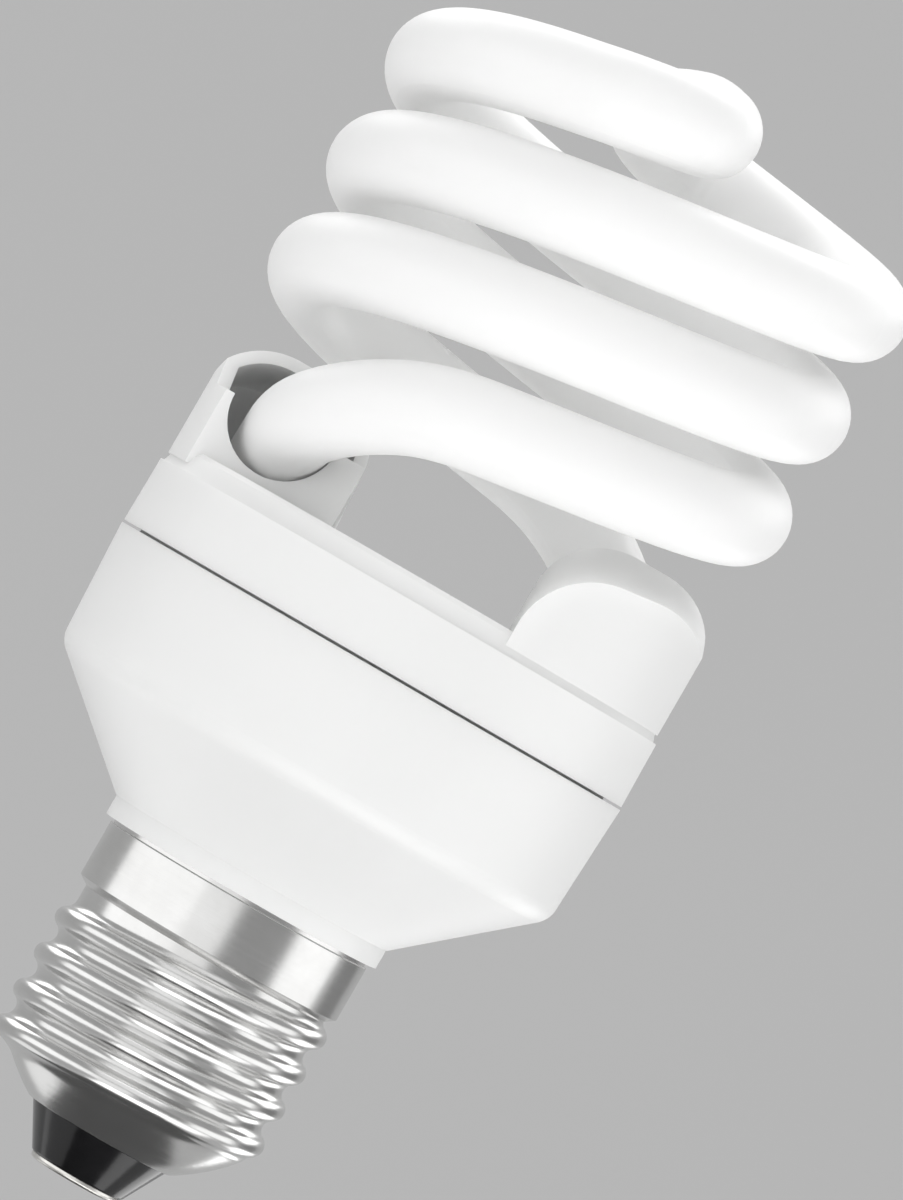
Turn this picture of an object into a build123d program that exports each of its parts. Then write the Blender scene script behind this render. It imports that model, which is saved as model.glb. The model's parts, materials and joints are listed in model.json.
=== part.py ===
# Compact spiral lamp with an E27 screw cap, in millimetres.
# Z is the lamp's axis with the cap down, Z=0 is the underside of the centre contact.
# The front is -Y. The two strands and the two hoods repeat after half a turn about Z.
import math
import os

from build123d import *

os.makedirs("parts", exist_ok=True)

# Screw cap
contact_r = 4.4
contact_t = 0.5
contact_stem_r = 1.1
contact_stem_h = 3.0
insulator_h = 4.1
insulator_tip_r = 4.5
insulator_base_r = 6.75
insulator_rim_fit = 0.15
insulator_seat_h = 4.0
insulator_seat_in = 1.8
sheet = 0.35
shell_rim = 0.3
shell_dome_h = 4.2
shell_h = 24.7
skirt_in = 0.16
skirt_h = 5.7
thread_pitch = 3.629
thread_crest_r = 13.1
thread_depth = 1.1
thread_start_up = 0.8
thread_start_angle = 269.2
thread_seam_angle = 37.0
thread_end_down = 0.8

# Lower housing
wall = 1.5
neck_lip = 0.7
neck_h = 1.85
cone_foot_step = 0.11
cone_h = 9.45
side_lean = 0.55
crease_round = 2.5
side_h = 11.6
rim_r = 25.25
rim_base_r = 25.25
spigot_len = 5.0
spigot_wall = 1.3
spigot_fit = 0.05

# Upper cover
parting_gap = 0.25
collar_h = 6.4
collar_lean = 0.15
step_in = 0.3
ledge_h = 2.05
ledge_slope_in = 0.6
plate_t = 1.5
lip_len = 3.3
lip_t = 1.2
lip_fit = 0.15
lip_shoulder = 1.2
bead_h = 0.3
bead_up = 1.6
hood_inner_x = 9.0
hood_outer_x = 25.2
hood_top = 19.8
hood_round = 6.6
hood_slope = 0.15
hood_wall = 1.2
mouth_tilt = 31.0
mouth_y = 6.5
cradle_y = 9.6
cradle_x = 16.95
cradle_z = 14.4
cradle_r = 5.1

# Spiral tube
tube_d = 8.2
coil_r = 21.85
strand_rise = 20.55
coil_z = 27.7
leg_turn = -100.0
cross_angle = 101.0
cross_bend_r = 7.2
cross_z = 55.9
leg_mouth_x = 16.15
leg_mouth_y = 9.0
leg_mouth_z = 14.3
leg_end_x = 16.6
leg_end_y = 0.5
leg_end_z = 3.2
leg_pull_up = 19.0
leg_pull_down = 15.0
cement_low = 2.6
cement_high = 9.4
cement_gap = 0.05

# Board and what it carries
board_t = 1.6
board_fit = 0.25
board_edge_fit = 1.0
board_base_r = 22.4938164
rib_count = 6
rib_t = 1.2
rib_in = 1.9
rib_h = 5.0
lead_hole_fit = 0.1
lead_out = 0.9
lead_d = 0.6
capacitor_d = 10.0
capacitor_h = 17.0
capacitor_pitch = 5.0
choke_x = 11.6
choke_w = 12.6
choke_deep = 6.0
choke_h = 8.6
choke_leg = 3.4
choke_yoke = 1.6
choke_limb = 1.7
bobbin_t = 0.6
bobbin_fit = 0.1
winding_t = 1.5
toroid_x = -10.5
toroid_y = 6.5
toroid_od = 9.0
toroid_id = 5.0
toroid_h = 3.4
toroid_wrap = 0.5
toroid_stand = 0.8
drum_x = -16.5
drum_y = -1.5
drum_d = 6.0
drum_h = 6.8
drum_neck_d = 3.0
drum_flange = 0.9
transistor_d = 4.7
transistor_h = 4.7
transistor_stand = 2.4
transistor_pitch = 1.27
film_w = 9.0
film_t = 4.0
film_h = 7.4
film_pitch = 6.6
thermistor_d = 7.0
thermistor_t = 2.6
thermistor_stand = 1.0
thermistor_pitch = 5.0
ring_r = 19.0
diode_d = 2.7
diode_l = 5.2
diode_span = 8.2
resistor_d = 2.2
resistor_l = 5.8
resistor_span = 8.2
trigger_r = 15.8
trigger_d = 1.9
trigger_l = 3.9
trigger_span = 6.6
axial_stand = 0.3
wrap_pin_w = 0.8
wrap_pin_r = 21.3
wrap_pin_up = 4.6
wrap_pin_down = 1.0
filament_wire_d = 0.5
filament_wire_apart = 3.0
fuse_d = 2.6
fuse_l = 8.0
fuse_z = 15.0
cap_wire_d = 1.1
shell_wire_d = 0.6

# Radii that follow the cap's crest or the housing's rim
thread_valley_r = thread_crest_r - thread_depth
skirt_r = thread_crest_r - skirt_in
insulator_seat_r = thread_valley_r - insulator_seat_in
neck_r = skirt_r + neck_lip
cone_foot_r = neck_r + cone_foot_step
crease_r = rim_r - side_lean
collar_top_r = rim_r - collar_lean

# The hoods and the tube keep their share of the rim
body_k = rim_r / rim_base_r
hood_inner_x *= body_k
hood_outer_x *= body_k
mouth_y *= body_k
cradle_y *= body_k
cradle_x *= body_k
coil_r *= body_k
leg_mouth_x *= body_k
leg_mouth_y *= body_k
leg_end_x *= body_k
leg_end_y *= body_k
tube_d *= body_k
cradle_r *= body_k
leg_mouth_z *= body_k
leg_end_z *= body_k
cradle_z *= body_k
hood_top *= body_k
hood_round *= body_k
cement_low *= body_k
cement_high *= body_k
coil_z *= body_k
strand_rise *= body_k
cross_bend_r *= body_k
cross_z *= body_k
hood_wall *= body_k
leg_pull_up *= body_k
leg_pull_down *= body_k

# Heights from the contact's underside
z_insulator = contact_t
z_shell = z_insulator + insulator_h
z_dome = z_shell + shell_dome_h
z_shell_top = z_shell + shell_h
z_skirt = z_shell_top - skirt_h
z_cone = z_shell_top + neck_h
z_crease = z_cone + cone_h
z_part = z_crease + side_h
z_step = z_part + collar_h
z_plate = z_step + ledge_h
z_lip = z_part - lip_len
z_board_top = z_lip - board_fit
z_board = z_board_top - board_t

# Screw shell: rolled sheet, dome, thread and skirt
shell_hole_r = insulator_base_r + insulator_rim_fit
dome_out_mid = (shell_hole_r + 0.62 * (thread_valley_r - shell_hole_r), z_shell + 0.51 * shell_dome_h)
dome_in_mid = (dome_out_mid[0] - 0.6 * sheet, dome_out_mid[1] + 0.8 * sheet)
skirt_blend = 0.7 * (skirt_r - thread_valley_r)

with BuildPart() as shell_outside:
    with BuildSketch(Plane.XZ):
        with BuildLine():
            Line((0, z_shell), (shell_hole_r + shell_rim, z_shell))
            ThreePointArc((shell_hole_r + shell_rim, z_shell), dome_out_mid, (thread_valley_r, z_dome))
            Line((thread_valley_r, z_dome), (thread_valley_r, z_skirt - skirt_blend))
            Line((thread_valley_r, z_skirt - skirt_blend), (skirt_r, z_skirt))
            Line((skirt_r, z_skirt), (skirt_r, z_shell_top))
            Line((skirt_r, z_shell_top), (0, z_shell_top))
            Line((0, z_shell_top), (0, z_shell))
        make_face()
    revolve(axis=Axis.Z)

with BuildPart() as shell_inside:
    with BuildSketch(Plane.XZ):
        with BuildLine():
            Line((0, z_shell - 1), (shell_hole_r, z_shell - 1))
            Line((shell_hole_r, z_shell - 1), (shell_hole_r, z_shell + 1.3 * sheet))
            ThreePointArc(
                (shell_hole_r, z_shell + 1.3 * sheet),
                dome_in_mid,
                (thread_valley_r - sheet, z_dome + 0.4 * sheet),
            )
            Line((thread_valley_r - sheet, z_dome + 0.4 * sheet), (thread_valley_r - sheet, z_skirt - skirt_blend))
            Line((thread_valley_r - sheet, z_skirt - skirt_blend), (skirt_r - sheet, z_skirt))
            Line((skirt_r - sheet, z_skirt), (skirt_r - sheet, z_shell_top + 1))
            Line((skirt_r - sheet, z_shell_top + 1), (0, z_shell_top + 1))
            Line((0, z_shell_top + 1), (0, z_shell - 1))
        make_face()
    revolve(axis=Axis.Z)


def thread_ridge(inset):
    # One rounded ridge, swept up the right-handed helix
    crest = thread_crest_r - inset
    valley = thread_valley_r - inset
    depth = crest - valley
    half = 0.45 * thread_pitch
    mid = z_dome + thread_start_up
    root = valley - 0.05
    with BuildPart() as ridge:
        with BuildLine() as path:
            Helix(thread_pitch, z_skirt - thread_end_down - mid, valley, center=(0, 0, mid))
        with BuildSketch(Plane.XZ):
            with BuildLine():
                Polyline((root, mid + half), (root - 0.25, mid + half), (root - 0.25, mid - half), (root, mid - half))
                Bezier(
                    (root, mid - half),
                    (valley + 0.05 * depth, mid - 0.55 * half),
                    (crest, mid - 0.62 * half),
                    (crest, mid),
                )
                Bezier(
                    (crest, mid),
                    (crest, mid + 0.62 * half),
                    (valley + 0.05 * depth, mid + 0.55 * half),
                    (root, mid + half),
                )
            make_face()
        sweep(path=path.wires()[0], is_frenet=True)
    return ridge.part.rotate(Axis.Z, thread_seam_angle)


with BuildPart() as shell_solid:
    add(shell_outside.part)
    add(thread_ridge(0))

with BuildPart() as shell_hollow:
    add(shell_inside.part)
    add(thread_ridge(sheet))

with BuildPart() as shell_sheet:
    add(shell_solid.part)
    add(shell_hollow.part, mode=Mode.SUBTRACT)

with BuildPart() as screw_shell:
    add(shell_sheet.part.rotate(Axis.Z, thread_start_angle - thread_seam_angle))
screw_shell.part.label = "screw_shell"
export_step(screw_shell.part, "parts/screw_shell.step")

# Glass insulator, seated inside the dome
insulator_seat_z = z_shell + 1.3 * sheet + 0.25
insulator_top = z_insulator + insulator_h + insulator_seat_h
stem_fit = 0.08
with BuildPart() as cap_insulator:
    with BuildSketch(Plane.XZ):
        with BuildLine():
            Polyline(
                (contact_stem_r + stem_fit, z_insulator),
                (insulator_tip_r, z_insulator),
                (insulator_base_r, z_shell),
                (insulator_base_r, insulator_seat_z),
                (insulator_seat_r, insulator_top - 0.6),
                (insulator_seat_r, insulator_top),
                (contact_stem_r + stem_fit, insulator_top),
                close=True,
            )
        make_face()
    revolve(axis=Axis.Z)
    fillet(cap_insulator.edges().filter_by(GeomType.CIRCLE).group_by(Axis.Z)[0].sort_by(SortBy.RADIUS)[-1], 0.4)
cap_insulator.part.label = "cap_insulator"
export_step(cap_insulator.part, "parts/cap_insulator.step")

# Centre contact: disc with a hollow stem
fuse_lead_fit = 0.05
with BuildPart() as centre_contact:
    with BuildSketch(Plane.XZ):
        with BuildLine():
            Polyline(
                (lead_d / 2 + fuse_lead_fit, 0),
                (contact_r, 0),
                (contact_r, contact_t),
                (contact_stem_r, contact_t),
                (contact_stem_r, contact_t + contact_stem_h),
                (lead_d / 2 + fuse_lead_fit, contact_t + contact_stem_h),
                close=True,
            )
        make_face()
    revolve(axis=Axis.Z)
    fillet(centre_contact.edges().filter_by(GeomType.CIRCLE).group_by(Axis.Z)[0].sort_by(SortBy.RADIUS)[-1], 0.3)
centre_contact.part.label = "centre_contact"
export_step(centre_contact.part, "parts/centre_contact.step")

# Lower housing: spigot, neck, cone and straight side, with ribs under the board
cone_run = math.hypot(crease_r - cone_foot_r, cone_h)
cone_slope = cone_h / (crease_r - cone_foot_r)
inner_foot_r = cone_foot_r - wall * cone_h / cone_run
inner_foot_z = z_cone + wall * (crease_r - cone_foot_r) / cone_run
spigot_r = skirt_r - sheet - spigot_fit
spigot_in = spigot_r - spigot_wall
inner_side_r = crease_r - wall
inner_rim_r = rim_r - wall
z_rim = z_part - parting_gap / 2
inner_side_z = inner_foot_z + (inner_side_r - inner_foot_r) * cone_slope
z_bead = z_lip + bead_up


def inner_cone_z(radius):
    return inner_foot_z + (radius - inner_foot_r) * cone_slope


def inner_wall_r(height):
    share = (height - inner_side_z) / (z_rim - inner_side_z)
    return inner_side_r + (inner_rim_r - inner_side_r) * share


lip_r = inner_wall_r(z_lip) - lip_fit
rib_angles = [30 + 360 * k / rib_count for k in range(rib_count)]


with BuildPart() as housing_cavity:
    with BuildSketch(Plane.XZ):
        with BuildLine():
            Polyline(
                (0, z_shell_top - spigot_len - 1),
                (spigot_in, z_shell_top - spigot_len - 1),
                (spigot_in, inner_cone_z(spigot_in)),
                (inner_side_r, inner_cone_z(inner_side_r)),
                (inner_rim_r, z_rim),
                (inner_rim_r, z_rim + 1),
                (0, z_rim + 1),
                close=True,
            )
        make_face()
    revolve(axis=Axis.Z)

board_r = inner_wall_r(z_board) - board_edge_fit

# The ballast's pieces keep their share of the board
ballast_k = board_r / board_base_r
capacitor_d *= ballast_k
capacitor_h *= ballast_k
capacitor_pitch *= ballast_k
choke_x *= ballast_k
choke_w *= ballast_k
choke_deep *= ballast_k
choke_h *= ballast_k
choke_leg *= ballast_k
choke_yoke *= ballast_k
choke_limb *= ballast_k
winding_t *= ballast_k
toroid_x *= ballast_k
toroid_y *= ballast_k
toroid_od *= ballast_k
toroid_id *= ballast_k
toroid_h *= ballast_k
drum_x *= ballast_k
drum_y *= ballast_k
drum_d *= ballast_k
drum_h *= ballast_k
drum_neck_d *= ballast_k
transistor_d *= ballast_k
transistor_pitch *= ballast_k
film_w *= ballast_k
film_t *= ballast_k
film_pitch *= ballast_k
thermistor_d *= ballast_k
thermistor_t *= ballast_k
thermistor_pitch *= ballast_k
ring_r *= ballast_k
diode_d *= ballast_k
diode_l *= ballast_k
diode_span *= ballast_k
resistor_d *= ballast_k
resistor_l *= ballast_k
resistor_span *= ballast_k
trigger_r *= ballast_k
trigger_d *= ballast_k
trigger_l *= ballast_k
trigger_span *= ballast_k
wrap_pin_r *= ballast_k
transistor_places = [(-8.5 * ballast_k, -9.5 * ballast_k, 40), (-3.0 * ballast_k, -12.6 * ballast_k, 70)]
film_places = [(6.0 * ballast_k, -13.0 * ballast_k), (5.0 * ballast_k, 12.6 * ballast_k)]
therm_x = -5.0 * ballast_k
therm_y = 15.0 * ballast_k
shell_wire_y = 8.4 * ballast_k

with BuildPart() as board_rib:
    with BuildSketch(Plane.XZ.offset(-rib_t / 2)):
        with BuildLine():
            Polyline(
                (board_r - rib_in, z_board - rib_h + 2),
                (board_r - rib_in, z_board),
                (inner_side_r + wall / 2, z_board),
                (inner_side_r + wall / 2, z_board - rib_h),
                (board_r, z_board - rib_h),
                close=True,
            )
        make_face()
    extrude(amount=rib_t)

with BuildPart() as lower_housing:
    with BuildSketch(Plane.XZ):
        with BuildLine():
            Polyline(
                (0, z_shell_top - spigot_len),
                (spigot_r, z_shell_top - spigot_len),
                (spigot_r, z_shell_top),
                (neck_r, z_shell_top),
                (neck_r, z_cone),
                (cone_foot_r, z_cone),
                (crease_r, z_crease),
                (rim_r, z_rim),
                (0, z_rim),
                close=True,
            )
        make_face()
    revolve(axis=Axis.Z)
    fillet(lower_housing.edges().filter_by(GeomType.CIRCLE).sort_by(lambda e: abs(e.center().Z - z_crease))[0], crease_round)
    add(housing_cavity.part, mode=Mode.SUBTRACT)
    for angle in rib_angles:
        add(board_rib.part.rotate(Axis.Z, angle))
    with BuildSketch(Plane.XZ):
        with BuildLine():
            Polyline(
                (inner_rim_r - 0.6, z_bead - 0.5),
                (inner_rim_r, z_bead - 0.5),
                (inner_rim_r + bead_h, z_bead - 0.1),
                (inner_rim_r + bead_h, z_bead + 0.1),
                (inner_rim_r, z_bead + 0.5),
                (inner_rim_r - 0.6, z_bead + 0.5),
                close=True,
            )
        make_face()
    revolve(axis=Axis.Z, mode=Mode.SUBTRACT)
    with Locations((0, spigot_r, z_shell_top - spigot_len)):
        Box(shell_wire_d + 0.3, 2 * (shell_wire_d + 0.1), 2 * 4.0, mode=Mode.SUBTRACT)
lower_housing.part.label = "lower_housing"
export_step(lower_housing.part, "parts/lower_housing.step")

# Upper cover: collar, ledge, plate, lip with its bead, and two hoods
hood_wall_r = collar_top_r - step_in
cover_in_r = collar_top_r - wall
z_collar = z_part + parting_gap / 2
z_under = z_plate - plate_t
z_cradle = z_part + cradle_z
mouth_lean = math.tan(math.radians(mouth_tilt))


def hood_block(inset, front, reach, low):
    # Tombstone outline run back from y = -front, its roof falling as it goes
    top = z_part + hood_top + hood_slope * (front - mouth_y / 2) - inset
    round_r = hood_round - inset
    left = -hood_outer_x + inset
    right = -hood_inner_x - inset
    corner = round_r * (1 - math.sqrt(0.5))
    with BuildPart() as block:
        with BuildSketch(Plane.XZ.offset(front)):
            with BuildLine():
                Line((left, low - 10), (right, low - 10))
                Line((right, low - 10), (right, top - round_r))
                ThreePointArc((right, top - round_r), (right - corner, top - corner), (right - round_r, top))
                Line((right - round_r, top), (left + round_r, top))
                ThreePointArc((left + round_r, top), (left + corner, top - corner), (left, top - round_r))
                Line((left, top - round_r), (left, low - 10))
            make_face()
        extrude(amount=60, dir=(0, math.cos(math.atan(hood_slope)), -math.sin(math.atan(hood_slope))))
    with BuildPart() as limit:
        with Locations((0, 0, low)):
            Cylinder(reach, 40, align=(Align.CENTER, Align.CENTER, Align.MIN))
    return block.part & limit.part


with BuildPart() as hood:
    add(hood_block(0, cradle_y, hood_wall_r, z_under + 0.2))
    with BuildSketch(Plane.YZ):
        with BuildLine():
            Polyline(
                (-60, z_cradle),
                (-mouth_y, z_cradle),
                (-mouth_y + 20 * mouth_lean, z_cradle + 20),
                (-60, z_cradle + 20),
                close=True,
            )
        make_face()
    extrude(amount=60, both=True, mode=Mode.SUBTRACT)

with BuildPart() as hood_cavity:
    add(hood_block(hood_wall, cradle_y - hood_wall, hood_wall_r - hood_wall, z_under - 2.0))
    add(hood_block(hood_wall, cradle_y + 2, hood_wall_r - hood_wall, z_cradle))
    with BuildSketch(Plane.XZ.offset(cradle_y + 2)):
        with Locations((-cradle_x, z_cradle)):
            Circle(cradle_r)
    extrude(amount=-hood_wall - 3)

with BuildPart() as upper_cover:
    with BuildSketch(Plane.XZ):
        with BuildLine():
            Polyline(
                (0, z_under),
                (cover_in_r, z_under),
                (cover_in_r, z_collar + lip_shoulder + lip_t),
                (lip_r - lip_t, z_collar + lip_shoulder),
                (lip_r - lip_t, z_lip),
                (lip_r, z_lip),
                (lip_r, z_bead - 0.3),
                (lip_r + bead_h, z_bead),
                (lip_r, z_bead + 0.3),
                (lip_r, z_collar),
                (rim_r - 0.05, z_collar),
                (collar_top_r, z_step),
                (hood_wall_r, z_step),
                (hood_wall_r - ledge_slope_in, z_plate - 0.4),
                (hood_wall_r - ledge_slope_in - 0.4, z_plate),
                (0, z_plate),
                close=True,
            )
        make_face()
    revolve(axis=Axis.Z)
    add(hood.part)
    add(hood.part.rotate(Axis.Z, 180))
    add(hood_cavity.part, mode=Mode.SUBTRACT)
    add(hood_cavity.part.rotate(Axis.Z, 180), mode=Mode.SUBTRACT)
upper_cover.part.label = "upper_cover"
export_step(upper_cover.part, "parts/upper_cover.step")


# Spiral tube: two strands of one glass tube, joined across the top
def unit(v):
    size = math.sqrt(sum(c * c for c in v))
    return tuple(c / size for c in v)


def hermite(p, dp, q, dq, pull, share):
    a = 2 * share**3 - 3 * share**2 + 1
    b = share**3 - 2 * share**2 + share
    c = -2 * share**3 + 3 * share**2
    d = share**3 - share**2
    return tuple(a * p[i] + b * pull * dp[i] + c * q[i] + d * pull * dq[i] for i in range(3))


def coil_point(turn, radius=coil_r):
    angle = math.radians(turn)
    return (
        radius * math.cos(angle),
        radius * math.sin(angle),
        z_part + coil_z + strand_rise * turn / 360,
    )


def coil_heading(turn):
    angle = math.radians(turn)
    return unit((-math.sin(angle), math.cos(angle), strand_rise / (2 * math.pi * coil_r)))


leg_start = coil_point(leg_turn)
leg_out = tuple(-c for c in coil_heading(leg_turn))
leg_mouth = (-leg_mouth_x, -leg_mouth_y, z_part + leg_mouth_z)
leg_in = unit((-0.02, 0.97, -0.26))
leg_end = (-leg_end_x, leg_end_y, z_part + leg_end_z)
leg_down = unit((0, 0.25, -0.97))
leg_upper = [hermite(leg_start, leg_out, leg_mouth, leg_in, leg_pull_up, k / 5) for k in range(6)]
leg_lower = [hermite(leg_mouth, leg_in, leg_end, leg_down, leg_pull_down, k / 4) for k in range(5)]

bend_lean = math.degrees(math.asin(cross_bend_r / (coil_r - cross_bend_r)))
coil_stop = 360 + cross_angle - bend_lean
coil_steps = 25
coil_step = (coil_stop - leg_turn) / coil_steps
coil_corner_r = coil_r / math.cos(math.radians(coil_step / 2))
coil_points = [coil_point(leg_turn + coil_step * k, coil_corner_r) for k in range(1, coil_steps)]
bend_c = (
    (coil_r - cross_bend_r) * math.cos(math.radians(coil_stop)),
    (coil_r - cross_bend_r) * math.sin(math.radians(coil_stop)),
)
bend_turn = 90 + bend_lean
bend_steps = 6
cross_run = (coil_r - cross_bend_r) * math.cos(math.radians(bend_lean))
bend_run = cross_bend_r * math.radians(bend_turn)
rise_run = bend_run + cross_run
rise_from = coil_point(coil_stop)[2]
rise = z_part + cross_z - rise_from


def cross_height(share):
    start_pull = 0.17 * rise_run
    ease = rise * (3 * share**2 - 2 * share**3)
    return rise_from + ease + start_pull * (share - 2 * share**2 + share**3)


bend_corner_r = cross_bend_r / math.cos(math.radians(bend_turn / bend_steps / 2))
bend_points = []
for k in range(bend_steps):
    angle = math.radians(coil_stop + bend_turn * (k + 0.5) / bend_steps)
    bend_points.append(
        (
            bend_c[0] + bend_corner_r * math.cos(angle),
            bend_c[1] + bend_corner_r * math.sin(angle),
            cross_height(bend_run * (k + 0.5) / bend_steps / rise_run),
        )
    )
cross_share = 0.5
cross_points = [
    (
        cross_run * (1 - cross_share) * math.cos(math.radians(cross_angle)),
        cross_run * (1 - cross_share) * math.sin(math.radians(cross_angle)),
        cross_height((bend_run + cross_run * cross_share) / rise_run),
    )
]
strand = list(reversed(leg_lower))[:-1] + list(reversed(leg_upper)) + coil_points + bend_points + cross_points
other = [(-x, -y, z) for x, y, z in reversed(strand)]


def corner_radii(points, share):
    radii = []
    for before, at, after in zip(points, points[1:], points[2:]):
        first = Vector(*at) - Vector(*before)
        second = Vector(*after) - Vector(*at)
        turn = math.radians(first.get_angle(second))
        radii.append(share * min(first.length, second.length) / math.tan(turn / 2))
    return radii


def round_tube(points, diameter, share=0.45):
    with BuildPart() as tube:
        with BuildLine() as path:
            FilletPolyline(*points, radius=corner_radii(points, share))
        with BuildSketch(Plane(origin=path.wires()[0] @ 0, z_dir=path.wires()[0] % 0)):
            Circle(diameter / 2)
        sweep(path=path.wires()[0])
    return tube.part


with BuildPart() as spiral_tube:
    add(round_tube(strand + other, tube_d, 0.48))
spiral_tube.part.label = "spiral_tube"
export_step(spiral_tube.part, "parts/spiral_tube.step")
tube_path = sum((Vector(*b) - Vector(*a)).length for a, b in zip(strand, strand[1:]))
print("tube: polygon", round(2 * tube_path), "volume", round(spiral_tube.part.volume))
print("smallest tube radii", [round(r, 1) for r in sorted(corner_radii(strand + other, 0.48))[:4]])

# Cement that holds each tube end inside its hood
leg_points = list(reversed(leg_lower))[:-1] + list(reversed(leg_upper))[:3]
cement_reach = hood_wall_r - hood_wall - cement_gap
with BuildPart() as tube_cement_left:
    add(hood_block(hood_wall + cement_gap, cradle_y - hood_wall - cement_gap, cement_reach, z_under - 2.0))
    with Locations((0, leg_end_y - 2.0, z_part + cement_low)):
        Box(60, 13, cement_high - cement_low, align=(Align.CENTER, Align.CENTER, Align.MIN), mode=Mode.INTERSECT)
    add(round_tube(leg_points, tube_d + 2 * cement_gap, 0.48), mode=Mode.SUBTRACT)
tube_cement_left.part.label = "tube_cement_left"
export_step(tube_cement_left.part, "parts/tube_cement_left.step")

with BuildPart() as tube_cement_right:
    add(tube_cement_left.part.rotate(Axis.Z, 180))
tube_cement_right.part.label = "tube_cement_right"
export_step(tube_cement_right.part, "parts/tube_cement_right.step")

# Pieces that stand on the board's lower side, and their leads through it
lead_holes = []
lead_top = z_board_top + lead_out


def at(radius, angle):
    return (radius * math.cos(math.radians(angle)), radius * math.sin(math.radians(angle)))


with BuildPart() as smoothing_capacitor:
    with Locations((0, 0, z_board)):
        Cylinder(capacitor_d / 2, capacitor_h, align=(Align.CENTER, Align.CENTER, Align.MAX))
    fillet(smoothing_capacitor.edges().filter_by(GeomType.CIRCLE), 0.7)
    with BuildSketch(Plane.XY.offset(z_board - 2.2)):
        Circle(capacitor_d / 2 + 1)
        Circle(capacitor_d / 2 - 0.35, mode=Mode.SUBTRACT)
    extrude(amount=0.7, mode=Mode.SUBTRACT)
    with Locations((-capacitor_pitch / 2, 0, z_board - 0.5), (capacitor_pitch / 2, 0, z_board - 0.5)):
        Cylinder(lead_d / 2, lead_top - z_board + 0.5, align=(Align.CENTER, Align.CENTER, Align.MIN))
smoothing_capacitor.part.label = "smoothing_capacitor"
export_step(smoothing_capacitor.part, "parts/smoothing_capacitor.step")
lead_holes += [(-capacitor_pitch / 2, 0), (capacitor_pitch / 2, 0)]

# Choke: closed ferrite core, bobbin on its middle leg, winding on the bobbin
choke_top = z_board - bobbin_t - bobbin_fit
choke_low = choke_top - choke_h
window_h = choke_h - 2 * choke_yoke
window_w = (choke_w - choke_leg - 2 * choke_limb) / 2
with BuildPart() as choke_core:
    with Locations((choke_x, 0, choke_low)):
        Box(choke_deep, choke_w, choke_h, align=(Align.CENTER, Align.CENTER, Align.MIN))
    with Locations(
        (choke_x, (choke_leg + window_w) / 2, choke_low + choke_yoke),
        (choke_x, -(choke_leg + window_w) / 2, choke_low + choke_yoke),
    ):
        Box(
            choke_deep + 2,
            window_w,
            window_h,
            align=(Align.CENTER, Align.CENTER, Align.MIN),
            mode=Mode.SUBTRACT,
        )
choke_core.part.label = "choke_core"
export_step(choke_core.part, "parts/choke_core.step")

bobbin_in_x = choke_deep / 2 + bobbin_fit
bobbin_in_y = choke_leg / 2 + bobbin_fit
bobbin_out_x = bobbin_in_x + bobbin_t
bobbin_out_y = bobbin_in_y + bobbin_t
winding_room = window_w - bobbin_fit - bobbin_t
winding_out = min(winding_t, winding_room - bobbin_fit)
with BuildPart() as choke_bobbin:
    with Locations((choke_x, 0, choke_low + choke_yoke + bobbin_fit)):
        Box(
            2 * bobbin_out_x,
            2 * bobbin_out_y,
            window_h - 2 * bobbin_fit,
            align=(Align.CENTER, Align.CENTER, Align.MIN),
        )
    with Locations(
        (choke_x, 0, choke_low + choke_yoke + bobbin_fit),
        (choke_x, 0, choke_low + choke_yoke + window_h - bobbin_fit - bobbin_t),
    ):
        Box(
            2 * (bobbin_out_x + winding_out),
            2 * (bobbin_out_y + winding_out),
            bobbin_t,
            align=(Align.CENTER, Align.CENTER, Align.MIN),
        )
    with Locations((choke_x, 0, choke_low)):
        Box(
            2 * bobbin_in_x,
            2 * bobbin_in_y,
            choke_h,
            align=(Align.CENTER, Align.CENTER, Align.MIN),
            mode=Mode.SUBTRACT,
        )
    foot_top = z_board
    foot_low = choke_low + choke_yoke + window_h - bobbin_fit - bobbin_t
    with Locations(
        (choke_x + bobbin_out_x + winding_out - 0.6, 0, foot_low),
        (choke_x - bobbin_out_x - winding_out + 0.6, 0, foot_low),
    ):
        Box(1.2, 2 * (bobbin_out_y + winding_out), foot_top - foot_low, align=(Align.CENTER, Align.CENTER, Align.MIN))
    choke_pins = []
    for side_x in (-1, 1):
        for side_y in (-1, 1):
            choke_pins.append(
                (
                    choke_x + side_x * (bobbin_out_x + winding_out - 0.6),
                    side_y * (bobbin_out_y + winding_out - 0.6),
                )
            )
    with Locations(*[(x, y, z_board - 0.4) for x, y in choke_pins]):
        Cylinder(lead_d / 2, lead_top - z_board + 0.4, align=(Align.CENTER, Align.CENTER, Align.MIN))
choke_bobbin.part.label = "choke_bobbin"
export_step(choke_bobbin.part, "parts/choke_bobbin.step")
lead_holes += choke_pins

with BuildPart() as choke_winding:
    with BuildSketch(Plane.XY.offset(choke_low + choke_yoke + bobbin_fit + bobbin_t + 0.05)):
        with Locations((choke_x, 0)):
            Rectangle(2 * (bobbin_out_x + winding_out) - 0.1, 2 * (bobbin_out_y + winding_out) - 0.1)
        with Locations((choke_x, 0)):
            Rectangle(2 * bobbin_out_x + 0.04, 2 * bobbin_out_y + 0.04, mode=Mode.SUBTRACT)
    extrude(amount=window_h - 2 * bobbin_fit - 2 * bobbin_t - 0.1)
choke_winding.part.label = "choke_winding"
export_step(choke_winding.part, "parts/choke_winding.step")

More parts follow.
